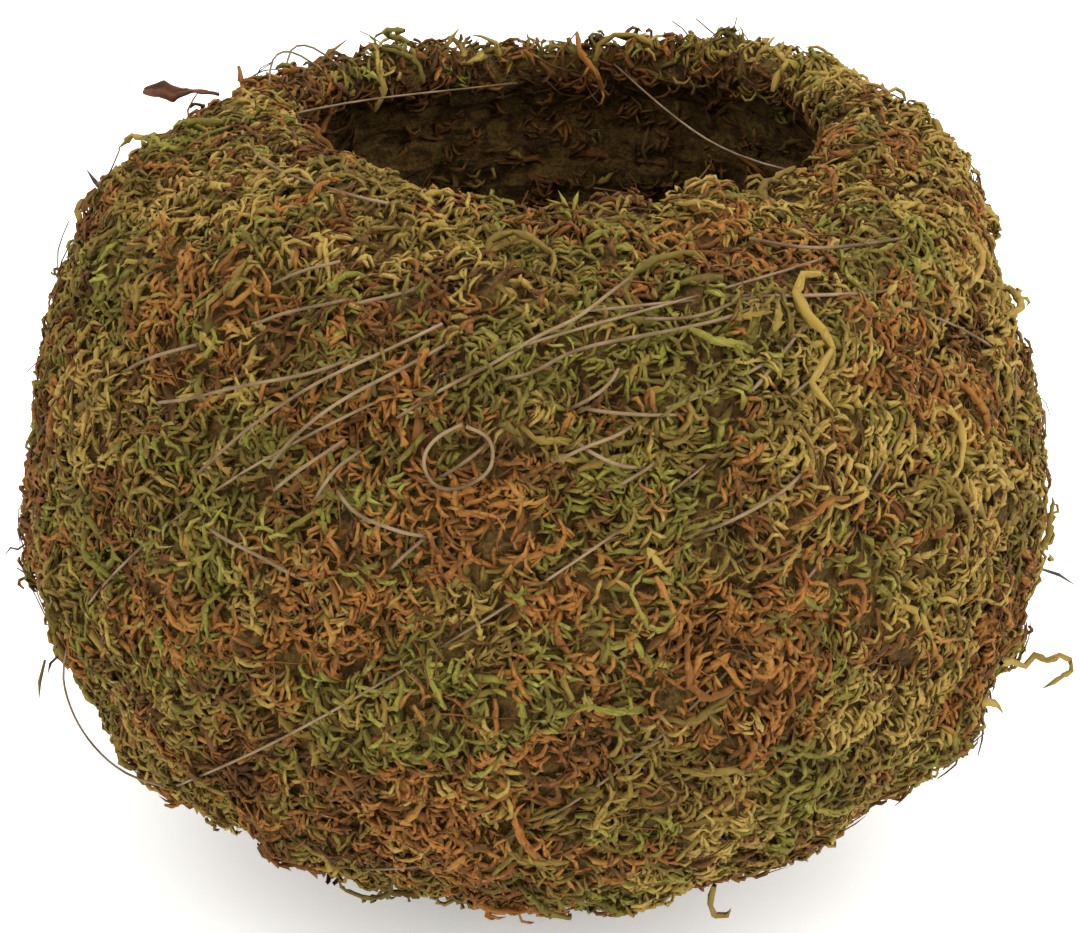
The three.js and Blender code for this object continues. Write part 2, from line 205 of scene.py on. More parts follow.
# The spin leaves its faces in no fixed order. Sorted, they give the same felt in every run.
bm.verts.index_update()
corners = [[vert.index for vert in f.verts] for f in bm.faces]
corners = sorted(row[k:] + row[:k] for row in corners for k in [row.index(min(row))])
felt_mesh = bpy.data.meshes.new("matted_felt")
felt_mesh.from_pydata([vert.co for vert in bm.verts], [], corners)
hollow = felt_mesh.attributes.new("hollow", "FLOAT", "POINT")
hollow.data.foreach_set("value", [vert[inner] for vert in bm.verts])
bm.free()
felt = new_object("matted_felt", felt_mesh)
finer = felt.modifiers.new("finer", "SUBSURF")
finer.levels = finer.render_levels = 2
applied(felt)
print("felt", len(felt.data.polygons), "faces")

# %% Lumps, mounds and gaps
MOUND_HEIGHT = 1.5 * MM
GAP_DEPTH = 2.2 * MM
# azimuth from the front, height and radius in mm of the dark gaps between the clumps
GAPS = [
    (-27, 94, 2.6), (-22, 92, 2.8), (-8, 90.5, 3.4), (-4, 90.5, 2.4), (-2, 67, 2.8), (19, 86, 2.8),
    (20.5, 80, 2.4), (36, 76, 2.8), (16.5, 66, 2.8), (-52, 64, 2.6),
]


def around(azimuth, reach, height):
    """The point some degrees round from the front, some mm off the axis and some mm up."""
    angle = math.radians(azimuth - 90)
    return Vector((math.cos(angle) * reach, math.sin(angle) * reach, height)) * MM


gaps = []
for azimuth, height, radius in GAPS:
    reach = float(np.interp(height, *zip(*[(z, x) for x, z in OUTER])))
    gaps.append((around(azimuth, reach, height), radius * MM))

TUFTS = [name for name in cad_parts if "_tuft_" in name]
mounds = []
for name in TUFTS:
    low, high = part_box(name)
    mounds.append(((low + high) / 2, (high - low).length / 4))


def in_gap(point):
    """How deep a point is in a dark gap: 1 in its middle, and 0 away from it."""
    return max(math.exp(-((point - middle).length / radius) ** 2) for middle, radius in gaps)


def lumps(point):
    """How far the felt stands out at a point: lumps, pillows with creases, mounds and gaps."""
    grown = 2.4 * noise.noise(point / (21 * MM) + Vector((4.3, 1.7, 8.1)))
    grown += 1.6 * noise.noise(point / (9 * MM) + Vector((2.2, 9.4, 5.6)))
    grown += 4.0 * abs(noise.noise(point / (6.5 * MM) + Vector((7.1, 3.3, 0.9)))) - 1.1
    grown *= MM
    for middle, radius in mounds:
        away = (point - middle).length / radius
        if away < 2:
            grown += MOUND_HEIGHT * math.exp(-1.5 * away * away)
    return grown - GAP_DEPTH * in_gap(point)


print(len(gaps), "gaps and", len(mounds), "mounds")

# %% The felt pushed into shape
MOUTH_SHIFT = 4 * MM
MOUTH_BACK = 10 * MM
BACK_LOWER = 2.0 * MM
SIDE_HIGHER = 2.0 * MM
SHOULDERS = 1.2 * MM

bm = bmesh.new()
bm.from_mesh(felt.data)
inner = bm.verts.layers.float["hollow"]
bm.normal_update()
for vert in bm.verts:
    point = vert.co.copy()
    angle = math.atan2(point.y, point.x)
    uneven = 1 + 0.008 * math.cos(2 * angle + 1.1) + 0.007 * math.cos(3 * angle + 2.4)
    lean = MOUTH_SHIFT * max(smoothstep(88 * MM, 108 * MM, point.z), vert[inner])
    out = lumps(point) * smoothstep(3 * MM, 16 * MM, point.z) * (1 - 0.4 * vert[inner])
    shoulder = math.cos(angle) ** 2 * (1 - 0.45 * math.cos(angle)) * (1 - vert[inner])
    out += SHOULDERS * shoulder * smoothstep(88 * MM, 105 * MM, point.z)
    rim = max(vert[inner], 1 - smoothstep(38 * MM, 53 * MM, math.hypot(point.x, point.y)))
    back = MOUTH_BACK * rim * smoothstep(84 * MM, 104 * MM, point.z)
    low = BACK_LOWER * max(0, math.sin(angle)) ** 2
    low -= SIDE_HIGHER * max(0, math.cos(angle - 0.75)) ** 4
    low *= smoothstep(92 * MM, 106 * MM, point.z)
    place = Vector((point.x * uneven + lean, point.y * uneven + back, point.z - low))
    vert.co = place + vert.normal * out
bm.to_mesh(felt.data)
bm.free()
felt_tree = BVHTree.FromObject(felt, bpy.context.evaluated_depsgraph_get())
print("the felt is", round(max(vert.co.z for vert in felt.data.vertices) / MM, 1), "mm high")

# %% [markdown]
# ## Places on the ball
# Everything that is laid on the ball is placed by two numbers: degrees round from the front, and a
# height. The point is taken on the ball's full outline, and the nearest point of the felt carries it.

# %% Places on the ball
# height and distance from the axis of the tips of the moss, in mm
TIPS = [
    (0, 27), (6, 35.5), (12, 45), (20, 58), (29, 66.5), (39, 72), (49, 74.3), (60, 74.2), (70, 72.8),
    (80, 71), (90, 67.6), (98, 63.3), (104, 58.7), (109, 52), (111, 44), (112, 38),
]


def on_ball(azimuth, height):
    """The point of the felt at some degrees round from the front and some mm up."""
    tip = around(azimuth, float(np.interp(height, *zip(*TIPS))), height)
    return felt_tree.find_nearest(tip)[0]


print("front of the belly at", [round(value / MM, 1) for value in on_ball(0, 49)])

# %% [markdown]
# ## Moss strands
# Dried sheet moss is a tangle of soft strands, a millimetre or less thick: thick curls, wisps that
# leave them, and stems with small leaves folded along them. Each is grown in the same way. A small
# ring is extruded along a bent path, thick here and thin there, and its end is merged to a tip. A few
# of each sort are made, of some dozens of faces, because they are laid thousands of times.
# Their map holds two things: u shifts the tint a little, and v runs from the dark root to the pale tips:
# partly the strands' own colour, and partly painted shade at the root and a painted highlight at the tips.

# %% Grow a strand along a path
sprigs = bpy.data.collections.new("moss_sprigs")


def bent_path(length, steps, arch, kink, curl):
    """Points of a strand that starts under the surface, rises over it and wanders sideways."""
    points = [Vector((-length / 2, 0, -0.4 * MM))]
    heading = rng.uniform(-0.4, 0.4)
    for i in range(steps):
        share = (i + 0.5) / steps
        heading += curl / steps + rng.uniform(-kink, kink)
        rise = arch * math.cos(math.pi * min(1, share * 1.2)) + rng.uniform(-0.2, 0.2)
        ahead = Vector((math.cos(heading), math.sin(heading), rise))
        points.append(points[-1] + ahead.normalized() * length / steps)
    middle = sum(points, Vector()) / len(points)
    return [point - Vector((middle.x, middle.y, 0)) for point in points]


def strand_bmesh():
    """An empty mesh with layers for how far along a strand, and how far off its tint, a vertex is."""
    bm = bmesh.new()
    bm.verts.layers.float.new("along")
    bm.verts.layers.float.new("off")
    return bm


def grow(bm, points, radii, sides, off=0.0, start=0.0, end=1.0):
    """Extrudes a ring along the points and closes it at the last one. Gives the new side faces."""
    along, off_tint = bm.verts.layers.float["along"], bm.verts.layers.float["off"]
    ring = bmesh.ops.create_circle(bm, segments=sides, radius=1, cap_ends=True)["verts"]
    corners = [vert.co.copy() for vert in ring]
    face = ring[0].link_faces[0]
    last = len(points) - 1
    grown = []
    for i, (point, radius) in enumerate(zip(points, radii)):
        if i:
            face = bmesh.ops.extrude_discrete_faces(bm, faces=[face])["faces"][0]
        ahead = (points[min(i + 1, last)] - points[max(i - 1, 0)]).normalized()
        turn = ahead.to_track_quat("Z", "Y") @ Euler((0, 0, 0.4 * i)).to_quaternion()
        wander = rng.uniform(-0.03, 0.03)
        for k, vert in enumerate(face.verts):
            vert.co = point + turn @ (corners[k % sides] * radius)
            vert[along] = start + (end - start) * i / last + wander
            vert[off_tint] = off + 0.004 * (k - 1)
        if 0 < i < last:
            grown += [f for edge in face.edges for f in edge.link_faces if f is not face]
    bmesh.ops.pointmerge(bm, verts=list(face.verts), merge_co=points[-1])
    return grown


def leaf_out(bm, faces, path, leaf, share):
    """Pokes some of the side faces out into leaves that point forward and to one side."""
    along = bm.verts.layers.float["along"]
    bm.normal_update()
    for f in [f for f in dict.fromkeys(faces) if rng.random() < share]:
        middle = f.calc_center_median()
        step = min(range(len(path) - 1), key=lambda k: (path[k] - middle).length)
        ahead = (path[step + 1] - path[step]).normalized()
        outward = f.normal.copy() if f.normal.length else Vector((0, 0, 1))
        sideways = outward.cross(ahead) * rng.uniform(-0.6, 0.6)
        tip = bmesh.ops.poke(bm, faces=[f])["verts"][0]
        reach = leaf * rng.uniform(0.5, 1.25)
        tip.co += (outward * rng.uniform(0.5, 0.9) + ahead * rng.uniform(0.5, 1.1) + sideways) * reach
        # Leaf tips move towards the pale end of the map: partly their own colour, partly a painted
        # highlight.
        tip[along] = min(1.1, tip[along] + 0.45)


def strand_mesh(name, bm):
    """Finishes a strand: triangles, smooth shading and its map."""
    along, off_tint = bm.verts.layers.float["along"], bm.verts.layers.float["off"]
    bmesh.ops.triangulate(bm, faces=bm.faces)
    bmesh.ops.recalc_face_normals(bm, faces=bm.faces)
    uv = bm.loops.layers.uv.new("OFBake")
    for f in bm.faces:
        f.smooth = True
        for loop in f.loops:
            loop[uv].uv = (loop.vert[off_tint], 0.16 + 0.66 * loop.vert[along])
    mesh = bpy.data.meshes.new(name)
    bm.to_mesh(mesh)
    bm.free()
    print(name, len(mesh.polygons), "faces")
    return mesh


def keep_sprig(name, bm):
    """Keeps a strand in the collection that is laid over the ball."""
    sprigs.objects.link(bpy.data.objects.new(name, strand_mesh(name, bm)))


# %% Thick curls with a wisp or two
# length, steps, arch, kink, curl, radius in mm
CURLS = [
    (5.5, 5, 0.50, 0.55, 2.0, 0.40), (6.5, 6, 0.45, 0.60, -1.8, 0.38), (7.5, 6, 0.35, 0.60, 1.2, 0.37),
    (5.0, 5, 0.60, 0.60, -2.6, 0.38), (6.0, 5, 0.50, 0.70, 0.6, 0.42),
]
LONG_CURLS = [
    (12.0, 9, 0.45, 0.60, 3.0, 0.46), (15.0, 11, 0.40, 0.60, -2.6, 0.44),
    (10.0, 8, 0.60, 0.65, 4.0, 0.46),
]


def swelling(count, radius):
    """Radii that swell after the root, wander, and taper to a tip."""
    shares = np.linspace(0, 1, count)
    shape = np.interp(shares, [0, 0.25, 0.6, 1], [0.7, 1.05, 0.9, 0.4])
    return (shape * rng.uniform(0.75, 1.2, count) * radius).tolist()


for i, (length, steps, arch, kink, curl, radius) in enumerate(CURLS + LONG_CURLS):
    bm = strand_bmesh()
    path = bent_path(length * MM, steps, arch, kink, curl)
    sides = grow(bm, path, swelling(steps + 1, radius * MM), 4, 0, 0.2, 0.75)
    leaf_out(bm, sides, path, 0.5 * MM, 0.45)
    for _ in range(1 if i < len(CURLS) else 3):
        k = int(rng.integers(1, steps - 1))
        wisp = bent_path(rng.uniform(2.0, 3.2) * MM, 3, 0.8, 0.4, rng.uniform(-2, 2))
        turn = Euler((0, 0, rng.uniform(-1.2, 1.2))).to_matrix()
        wisp = [path[k] + turn @ (point - wisp[0]) for point in wisp]
        grow(bm, wisp, swelling(4, 0.26 * MM), 3, rng.uniform(-0.02, 0.02), 0.35, 1.0)
    keep_sprig(f"sprig_{i:02}_curl", bm)

# %% Tufts of thin wisps
# wisps, longest in mm, steps of each, radius in mm
TUFTS_OF_WISPS = [
    (4, 3.6, 4, 0.33), (4, 4.4, 4, 0.30), (5, 3.0, 3, 0.34), (5, 3.6, 3, 0.30), (4, 5.0, 4, 0.28),
]
for i, (count, longest, steps, radius) in enumerate(TUFTS_OF_WISPS):
    bm = strand_bmesh()
    for _ in range(count):
        length = longest * rng.uniform(0.7, 1.05)
        wisp = bent_path(length * MM, steps, rng.uniform(0.3, 1.0), 0.45, rng.uniform(-2.6, 2.6))
        turn = Euler((0, 0, rng.normal(0, 0.7))).to_matrix()
        away = Vector((rng.uniform(-1.5, 1.5), rng.uniform(-1.2, 1.2), rng.uniform(-0.2, 0.5))) * MM
        wisp = [away + turn @ point for point in wisp]
        grow(bm, wisp, swelling(steps + 1, radius * MM), 3, rng.uniform(-0.025, 0.025))
    keep_sprig(f"sprig_1{i}_wisps", bm)

# %% Stems with small leaves
# length, steps, arch, kink, curl, radius, leaf in mm
LEAFY = [
    (5.5, 5, 0.50, 0.50, 1.0, 0.30, 0.90), (6.5, 6, 0.40, 0.50, -1.4, 0.28, 0.85),
    (5.0, 5, 0.60, 0.60, 2.2, 0.30, 0.85),
]
for i, (length, steps, arch, kink, curl, radius, leaf) in enumerate(LEAFY):
    bm = strand_bmesh()
    path = bent_path(length * MM, steps, arch, kink, curl)
    sides = grow(bm, path, swelling(steps + 1, radius * MM), 3, 0, 0.1, 0.7)
    leaf_out(bm, sides, path, leaf * MM, 0.8)
    keep_sprig(f"sprig_2{i}_leafy", bm)

# %% Flat base strands and hair-thin fibres
# length, steps, arch, kink, curl, radius in mm
BASE = [
    (6.0, 4, 0.20, 0.45, 0.8, 0.55), (7.0, 4, 0.15, 0.50, -1.2, 0.55), (5.0, 4, 0.25, 0.60, 2.0, 0.55),
]
FIBRES = [(9.0, 5, 0.35, 0.25, 0.6, 0.13), (12.0, 6, 0.30, 0.20, -0.8, 0.11)]
for i, (length, steps, arch, kink, curl, radius) in enumerate(BASE + FIBRES):
    bm = strand_bmesh()
    path = bent_path(length * MM, steps, arch, kink, curl)
    grow(bm, path, swelling(steps + 1, radius * MM), 3, 0, 0.1, 0.6)
    if i < len(BASE):
        turn = Euler((0, 0, 1.3)).to_matrix()
        crossing = bent_path(length * 0.7 * MM, 3, arch, kink, -curl)
        crossing = [turn @ point for point in crossing]
        grow(bm, crossing, swelling(4, radius * 0.8 * MM), 3, 0.015, 0.1, 0.7)
    keep_sprig(f"sprig_3{i}_base", bm)
SORTS = [len(CURLS), len(LONG_CURLS), len(TUFTS_OF_WISPS), len(LEAFY), len(BASE), len(FIBRES)]

# %% [markdown]
# ## Where the strands lie
# Points are spread evenly over the felt by a seeded draw. Each gets a kind of strand, a direction
# along the surface that follows a slow swirl, a size, a tint and a brightness. The tint comes from
# noise, so that neighbours belong together, and from a list of patches where the real ball is rust,
# green or straw. The strands in the hollow and in the gaps are darker: painted shade. Most strands in
# the hollow are brown, partly the lining's own colour and partly painted shade.

# %% Spread points over the felt
STRANDS = 43500
HOLLOW_SHARE = 0.30


def spread(mesh, number):
    """Points, normals and the share of hollow, evenly over the area of a mesh."""
    mesh.calc_loop_triangles()
    values = np.zeros((len(mesh.vertices), 7))
    for source, key, columns in (
        (mesh.vertices, "co", slice(0, 3)),
        (mesh.vertex_normals, "vector", slice(3, 6)),
        (mesh.attributes["hollow"].data, "value", slice(6, 7)),
    ):
        read = np.zeros(values[:, columns].size)
        source.foreach_get(key, read)
        values[:, columns] = read.reshape(len(values), -1)
    corners = np.zeros(len(mesh.loop_triangles) * 3, int)
    mesh.loop_triangles.foreach_get("vertices", corners)
    corners = corners.reshape(-1, 3)
    a, b, c = (values[corners[:, k], :3] for k in range(3))
    area = np.linalg.norm(np.cross(b - a, c - a), axis=1)
    chosen = rng.choice(len(corners), number, p=area / area.sum())
    share = rng.random((number, 2))
    flip = share.sum(1) > 1
    share[flip] = 1 - share[flip]
    weights = np.column_stack([1 - share.sum(1), share])
    found = sum(values[corners[chosen, k]] * weights[:, k : k + 1] for k in range(3))
    return found[:, :3], found[:, 3:6], found[:, 6]


points, normals, depth = spread(felt.data, STRANDS)
kept = rng.random(STRANDS) > (depth > 0.9) * (1 - HOLLOW_SHARE)
points, normals, depth = points[kept], normals[kept], depth[kept]
STRANDS = len(points)
inside = depth > 0.5
print(STRANDS, "strands,", int(inside.sum()), "of them in the hollow")

# %% Kinds, layers and sizes
# share of each sort outside and in the hollow, how deep or high it is laid, in mm, and how bright it is
sorts = ["curl", "long curl", "wisps", "leafy", "base", "fibre"]
OUTSIDE = [0.13, 0.006, 0.42, 0.14, 0.25, 0.054]
INSIDE = [0.10, 0.01, 0.22, 0.03, 0.55, 0.09]
LOW = np.array([0.1, 0.8, 0.2, 0.3, -0.4, 0.8])
HIGH = np.array([1.3, 1.9, 1.7, 1.6, 0.5, 2.0])
BRIGHT = np.array([0.03, 0.0, 0.03, 0.03, -0.07, -0.03])
first = np.cumsum([0] + SORTS)
layer = rng.choice(len(sorts), STRANDS, p=OUTSIDE)
layer[inside] = rng.choice(len(sorts), int(inside.sum()), p=INSIDE)
kinds = first[layer] + (rng.random(STRANDS) * np.diff(first)[layer]).astype(int)
lifts = (LOW[layer] + (HIGH - LOW)[layer] * rng.random(STRANDS)) * MM
lifts[inside] -= 0.4 * MM
sizes = rng.uniform(0.8, 1.3, STRANDS)
print(dict(zip(sorts, np.bincount(layer).tolist())))

# %% Tints
PATCH_SHARE = 0.6
# Painted shade: how much the strands are darkened in the hollow and in the dark gaps. The brown share in
# the hollow is partly the lining's own colour and partly painted shade.
BROWN_AND_SHADE_IN_HOLLOW = 0.6
HOLLOW_PAINTED_SHADE = 0.18
GAP_PAINTED_SHADE = 0.45
# The tints along u, in sRGB, from dark browns over rust and straw to the greens.
TINTS = [
    (0.03, (70, 46, 20)),
    (0.10, (98, 64, 27)),
    (0.18, (126, 78, 32)),
    (0.26, (150, 99, 43)),
    (0.34, (148, 112, 52)),
    (0.42, (160, 134, 68)),
    (0.50, (148, 124, 56)),
    (0.58, (132, 108, 46)),
    (0.66, (114, 93, 38)),
    (0.74, (98, 80, 32)),
    (0.82, (102, 91, 35)),
    (0.90, (118, 112, 42)),
    (0.97, (144, 136, 60)),
]
BROWN, RUST, STRAW, OLIVE, GREEN = "brown", "rust", "straw", "olive", "green"
TINT_OF = {
    BROWN: (0.11, 0.05), RUST: (0.22, 0.065), STRAW: (0.45, 0.075), OLIVE: (0.63, 0.09),
    GREEN: (0.85, 0.065),
}
# azimuth from the front, height in mm, radius in mm, tint
PATCHES = [
    (-21, 71, 12, RUST), (-7, 89, 9, RUST), (-4, 81, 7, RUST), (5, 67, 9, RUST), (15, 64, 8, RUST),
    (23, 57, 10, RUST), (-9, 36, 13, RUST), (-47, 100, 11, RUST), (-21, 93, 6, RUST),
    (38, 110, 9, RUST), (-42, 61, 8, RUST), (29, 71, 6, RUST), (47, 96, 8, RUST),
    (-16, 58, 12, GREEN), (11, 81, 10, GREEN), (-69, 96, 9, GREEN), (-18, 80, 7, GREEN),
    (-41, 70, 10, GREEN), (56, 106, 8, GREEN), (-45, 93, 7, GREEN), (20, 100, 11, GREEN),
    (-29, 103, 7, GREEN), (10, 62, 6, GREEN), (37, 71, 7, GREEN), (3, 102, 8, GREEN),
    (-65, 110, 12, STRAW), (-59, 80, 10, STRAW), (46, 57, 14, STRAW), (38, 95, 11, STRAW),
    (82, 99, 14, STRAW), (58, 71, 10, STRAW), (15, 70, 5, STRAW), (32, 85, 6, STRAW),
    (22, 34, 7, STRAW), (108, 108, 14, STRAW), (46, 112, 9, STRAW), (62, 103, 12, STRAW),
    (75, 90, 10, STRAW), (30, 92, 7, OLIVE), (58, 112, 9, STRAW),
]
patches = [(on_ball(a, h), r * MM, tint) for a, h, r, tint in PATCHES]
BIAS = {BROWN: 0.02, RUST: -0.07, STRAW: -0.10, OLIVE: 0.10, GREEN: 0.0}


def tint_at(point):
    """The name of a tint, from the patches first and else from noise that keeps neighbours together."""
    shaken = point + Vector(rng.normal(0, 1.0 * MM, 3))
    for place, radius, tint in patches:
        if (shaken - place).length < radius and rng.random() < PATCH_SHARE:
            return tint
    best, winner = -9, OLIVE
    for k, tint in enumerate(BIAS):
        score = BIAS[tint] + noise.noise(shaken / (6.5 * MM) + Vector((3.1 + 7 * k, 8.2, 1.7)))
        score += 0.7 * noise.noise(point / (19 * MM) + Vector((1.4, 2.6 + 5 * k, 7.3)))
        score += rng.normal(0, 0.13)
        # Straw is favoured on the right: partly the moss's own colour there, partly painted light on the
        # brighter right side.
        if tint == STRAW:
            score += 0.14 * point.x / (75 * MM)
        if score > best:
            best, winner = score, tint
    return winner


names = np.array([tint_at(Vector(p)) for p in points])
names[layer == sorts.index("fibre")] = BROWN
# Most strands in the hollow turn brown: partly the lining's own colour, partly painted shade.
names[inside & (rng.random(STRANDS) < BROWN_AND_SHADE_IN_HOLLOW)] = BROWN
drift = np.array([noise.noise(Vector(p) / (4 * MM) + Vector((0.5, 6.4, 3.2))) for p in points])
tints = np.array([TINT_OF[name][0] for name in names])
tints += np.array([TINT_OF[name][1] for name in names]) * (1.7 * drift + rng.normal(0, 0.45, STRANDS))
tints = tints.clip(0.03, 0.97)
clumps = np.array([noise.noise(Vector(p) / (3.6 * MM) + Vector((5.5, 0.4, 2.2))) for p in points])
lights = rng.normal(0, 0.04, STRANDS) + 0.34 * clumps + BRIGHT[layer]
# Painted shade: the strands are darkened the deeper they lie in the hollow.
lights = lights.clip(-0.16, 0.17) - HOLLOW_PAINTED_SHADE * ((depth - 0.15) / 0.6).clip(0, 1)
# Painted shade: the strands in the dark gaps between the clumps are darkened.
lights -= GAP_PAINTED_SHADE * np.array([in_gap(Vector(p)) for p in points])
print({name: int((names == name).sum()) for name in TINT_OF})

# %% Directions
def swirl(point, normal):
    """A direction along the surface that follows a slow swirl, with a wide spread."""
    across = Vector((0, 0, 1)).cross(normal)
    if across.length < 0.2:
        across = Vector((1, 0, 0)).cross(normal)
    across.normalize()
    up = normal.cross(across)
    angle = 4.5 * noise.noise(point / (13 * MM) + Vector((1.3, 4.4, 6.6))) + rng.normal(0, 0.75)
    return across * math.cos(angle) + up * math.sin(angle)


turns = np.zeros((STRANDS, 3))
for i in range(STRANDS):
    normal = (Vector(normals[i]).normalized() + Vector(rng.normal(0, 0.17, 3))).normalized()
    side = normal.cross(swirl(Vector(points[i]), normal)).normalized()
    turns[i] = Matrix((side.cross(normal), side, normal)).transposed().to_euler()
print("turned", STRANDS, "strands")

# %% [markdown]
# ## Laying the strands
# Geometry Nodes puts a strand on each point and makes them real. The tint and brightness of a point
# are added to its strand's map, so that one material colours all of them.

# %% The node tree that lays strands
def laying_tree():
    """The node tree that puts a strand on each point and adds the point's tint to the strand's map."""
    tree = bpy.data.node_groups.new("lay_strands", "GeometryNodeTree")
    tree.interface.new_socket(name="Points", in_out="INPUT", socket_type="NodeSocketGeometry")
    tree.interface.new_socket(name="Strands", in_out="OUTPUT", socket_type="NodeSocketGeometry")
    add = tree.nodes.new
    link = tree.links.new

    def attribute(name, kind):
        """The output of a named attribute."""
        node = add("GeometryNodeInputNamedAttribute")
        node.data_type = kind
        set_inputs(node, {"Name": name})
        return node.outputs["Attribute"]

    start, end = add("NodeGroupInput"), add("NodeGroupOutput")
    chooser = add("GeometryNodeCollectionInfo")
    set_inputs(chooser, {"Collection": sprigs, "Separate Children": True, "Reset Children": True})
    placer = add("GeometryNodeInstanceOnPoints")
    set_inputs(placer, {"Pick Instance": True})
    link(start.outputs["Points"], placer.inputs["Points"])
    link(chooser.outputs[0], placer.inputs["Instance"])
    link(attribute("kind", "INT"), placer.inputs["Instance Index"])
    link(attribute("turn", "FLOAT_VECTOR"), placer.inputs["Rotation"])
    link(attribute("size", "FLOAT"), placer.inputs["Scale"])
    real = add("GeometryNodeRealizeInstances")
    link(placer.outputs["Instances"], real.inputs["Geometry"])
    total = add("ShaderNodeVectorMath")
    link(attribute("OFBake", "FLOAT_VECTOR"), total.inputs[0])
    link(attribute("tint", "FLOAT_VECTOR"), total.inputs[1])
    store = add("GeometryNodeStoreNamedAttribute")
    store.data_type = "FLOAT2"
    store.domain = "CORNER"
    set_inputs(store, {"Name": "OFBake"})
    link(real.outputs["Geometry"], store.inputs["Geometry"])
    link(total.outputs["Vector"], store.inputs["Value"])
    link(store.outputs["Geometry"], end.inputs["Strands"])
    return tree


laying = laying_tree()
print("node tree with", len(laying.nodes), "nodes")

# %% [markdown]
# ## Finishes
# Every finish is dry and dull. A group of speckles, light and dark, breaks up each of them: the
# moss reads it along its strands, and the felt, thread and bark through their own space.

# %% Colours and speckles
def srgb(colour):
    """A colour of 0 to 255 as the linear numbers that Blender works with."""
    share = [value / 255 for value in colour]
    return [value / 12.92 if value < 0.04045 else ((value + 0.055) / 1.055) ** 2.4 for value in share]


def speckle_group():
    """Takes a colour and a place, and gives the colour with speckles and a height for a bump."""
    group = bpy.data.node_groups.new("speckles", "ShaderNodeTree")
    for name, way, kind in (
        ("Colour", "INPUT", "Color"), ("Place", "INPUT", "Vector"), ("Scale", "INPUT", "Float"),
        ("Depth", "INPUT", "Float"), ("Colour", "OUTPUT", "Color"), ("Height", "OUTPUT", "Float"),
    ):
        group.interface.new_socket(name=name, in_out=way, socket_type="NodeSocket" + kind)
    nodes, links = group.nodes, group.links
    start, end = nodes.new("NodeGroupInput"), nodes.new("NodeGroupOutput")
    grain = nodes.new("ShaderNodeTexNoise")
    set_inputs(grain, {"Detail": 3, "Roughness": 0.65})
    links.new(start.outputs["Place"], grain.inputs["Vector"])
    links.new(start.outputs["Scale"], grain.inputs["Scale"])
    centred = nodes.new("ShaderNodeMath")
    centred.operation = "SUBTRACT"
    set_inputs(centred, {1: 0.5})
    links.new(grain.outputs["Fac"], centred.inputs[0])
    factor = nodes.new("ShaderNodeMath")
    factor.operation = "MULTIPLY_ADD"
    set_inputs(factor, {2: 1})
    links.new(centred.outputs["Value"], factor.inputs[0])
    links.new(start.outputs["Depth"], factor.inputs[1])
    scaled = nodes.new("ShaderNodeVectorMath")
    scaled.operation = "SCALE"
    links.new(start.outputs["Colour"], scaled.inputs[0])
    links.new(factor.outputs["Value"], scaled.inputs["Scale"])
    links.new(scaled.outputs["Vector"], end.inputs["Colour"])
    links.new(grain.outputs["Fac"], end.inputs["Height"])
    return group


speckles = speckle_group()


def finish(name, roughness, bump):
    """A dull material with speckles and a bump. Gives the material, its links, nodes and speckles."""
    material = bpy.data.materials.new(name)
    material.use_nodes = True
    nodes, links = material.node_tree.nodes, material.node_tree.links
    shader = nodes["Principled BSDF"]
    set_inputs(shader, {"Roughness": roughness, "Specular IOR Level": 0.2})
    group = nodes.new("ShaderNodeGroup")
    group.node_tree = speckles
    links.new(group.outputs["Colour"], shader.inputs["Base Color"])
    raised = nodes.new("ShaderNodeBump")
    set_inputs(raised, {"Distance": bump, "Strength": 0.6})
    links.new(group.outputs["Height"], raised.inputs["Height"])
    links.new(raised.outputs["Normal"], shader.inputs["Normal"])
    return material, nodes, links, group


def fill_ramp(ramp, stops):
    """Puts (place, sRGB colour) stops on a colour ramp."""
    while len(ramp.color_ramp.elements) < len(stops):
        ramp.color_ramp.elements.new(1)
    for element, (place, colour) in zip(ramp.color_ramp.elements, stops):
        element.position = place
        element.color = (*srgb(colour), 1)


print("speckles ready")

# %% Dried moss
# Strands darken to the root and pale to the tips: partly their own colour, partly painted shade where they
# sink into the moss and a painted highlight at the tips.
ROOT_COLOUR_AND_SHADE = (68, 46, 18)
TIP_COLOUR_AND_HIGHLIGHT = (172, 144, 78)
FADING = 0.07

moss, nodes, links, group = finish("dried_moss", 0.85, 0.1 * MM)
strand_map = nodes.new("ShaderNodeUVMap")
strand_map.uv_map = "OFBake"
parts = nodes.new("ShaderNodeSeparateXYZ")
links.new(strand_map.outputs["UV"], parts.inputs["Vector"])
ramp = nodes.new("ShaderNodeValToRGB")
fill_ramp(ramp, TINTS)
stretch = nodes.new("ShaderNodeMapping")
set_inputs(stretch, {"Scale": (9, 1, 1)})
links.new(strand_map.outputs["UV"], stretch.inputs["Vector"])
fading = nodes.new("ShaderNodeTexNoise")
set_inputs(fading, {"Scale": 9})
links.new(stretch.outputs["Vector"], fading.inputs["Vector"])
faded = nodes.new("ShaderNodeMapRange")
set_inputs(faded, {"From Min": 0.3, "From Max": 0.7, "To Min": -FADING, "To Max": FADING})
links.new(fading.outputs["Fac"], faded.inputs["Value"])
tint_here = nodes.new("ShaderNodeMath")
links.new(parts.outputs["X"], tint_here.inputs[0])
links.new(faded.outputs["Result"], tint_here.inputs[1])
links.new(tint_here.outputs["Value"], ramp.inputs["Fac"])


